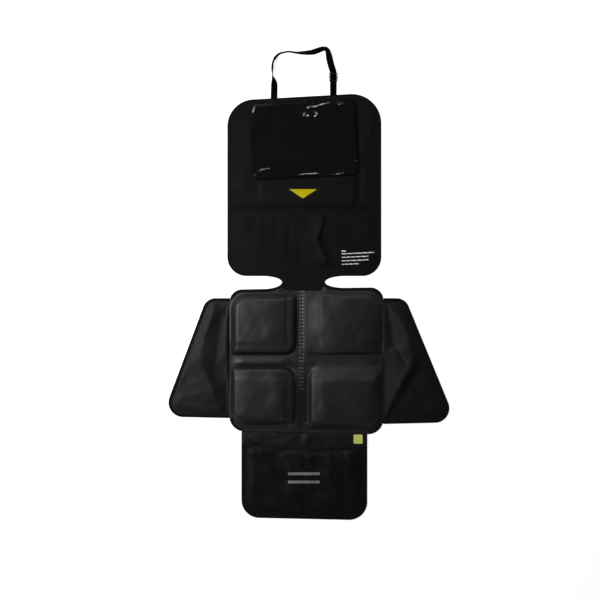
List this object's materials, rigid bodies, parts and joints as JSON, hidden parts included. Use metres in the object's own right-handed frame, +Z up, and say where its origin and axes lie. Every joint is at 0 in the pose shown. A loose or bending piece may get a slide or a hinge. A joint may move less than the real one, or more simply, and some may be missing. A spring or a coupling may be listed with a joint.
{
  "type": "car seat protector",
  "caption": "Padded car seat cover with a backrest panel, clear tablet window, storage pockets, folding side wings, front flap and headrest loop, lying flat.",
  "frame": {"origin": "on the seat section's underside, at the middle of its grip backing and the seat's centre line", "axes": "+X across the seat to the right, +Y from the front flap to the headrest loop, +Z up from the surface that it lies on"},
  "size_m": [0.808, 1.3603, 0.0237],
  "materials": {
    "black_fabric": "matt woven polyester",
    "black_leather": "soft satin grain",
    "edge_tape": "matt ribbed tape",
    "grey_foam": "open cell foam",
    "base_lining": "matt lining",
    "grip_mesh": "matt grip mesh",
    "clear_film": "clear glossy film",
    "yellow_badge": "soft moulded, satin",
    "lime_tag": "woven",
    "black_webbing": "woven webbing",
    "black_plastic": "satin",
    "white_print": "screen printed ink",
    "reflective_print": "grey reflective film"
  },
  "bodies": {
    "root": {"back_panel": "black_fabric", "back_tape": "edge_tape", "storage_pocket": "black_fabric", "storage_pocket_hem": "edge_tape", "tablet_band": "black_fabric", "tablet_window": "clear_film", "badge": "yellow_badge", "headrest_strap": "black_webbing", "strap_slider": "black_plastic", "seat_cover": "black_leather", "foam_pad_back_left": "grey_foam", "foam_pad_back_right": "grey_foam", "foam_pad_front_left": "grey_foam", "foam_pad_front_right": "grey_foam", "seat_base": "base_lining", "grip_backing": "grip_mesh", "seat_tape_back_left": "edge_tape", "seat_tape_back_right": "edge_tape", "seat_tape_front_left": "edge_tape", "seat_tape_front_right": "edge_tape", "wing_left": "black_fabric", "wing_left_tape": "edge_tape", "wing_right": "black_fabric", "wing_right_tape": "edge_tape", "front_flap": "black_fabric", "front_tape": "edge_tape", "front_pocket": "black_fabric", "front_band": "black_fabric", "side_tag": "lime_tag"}
  },
  "joints": []
}
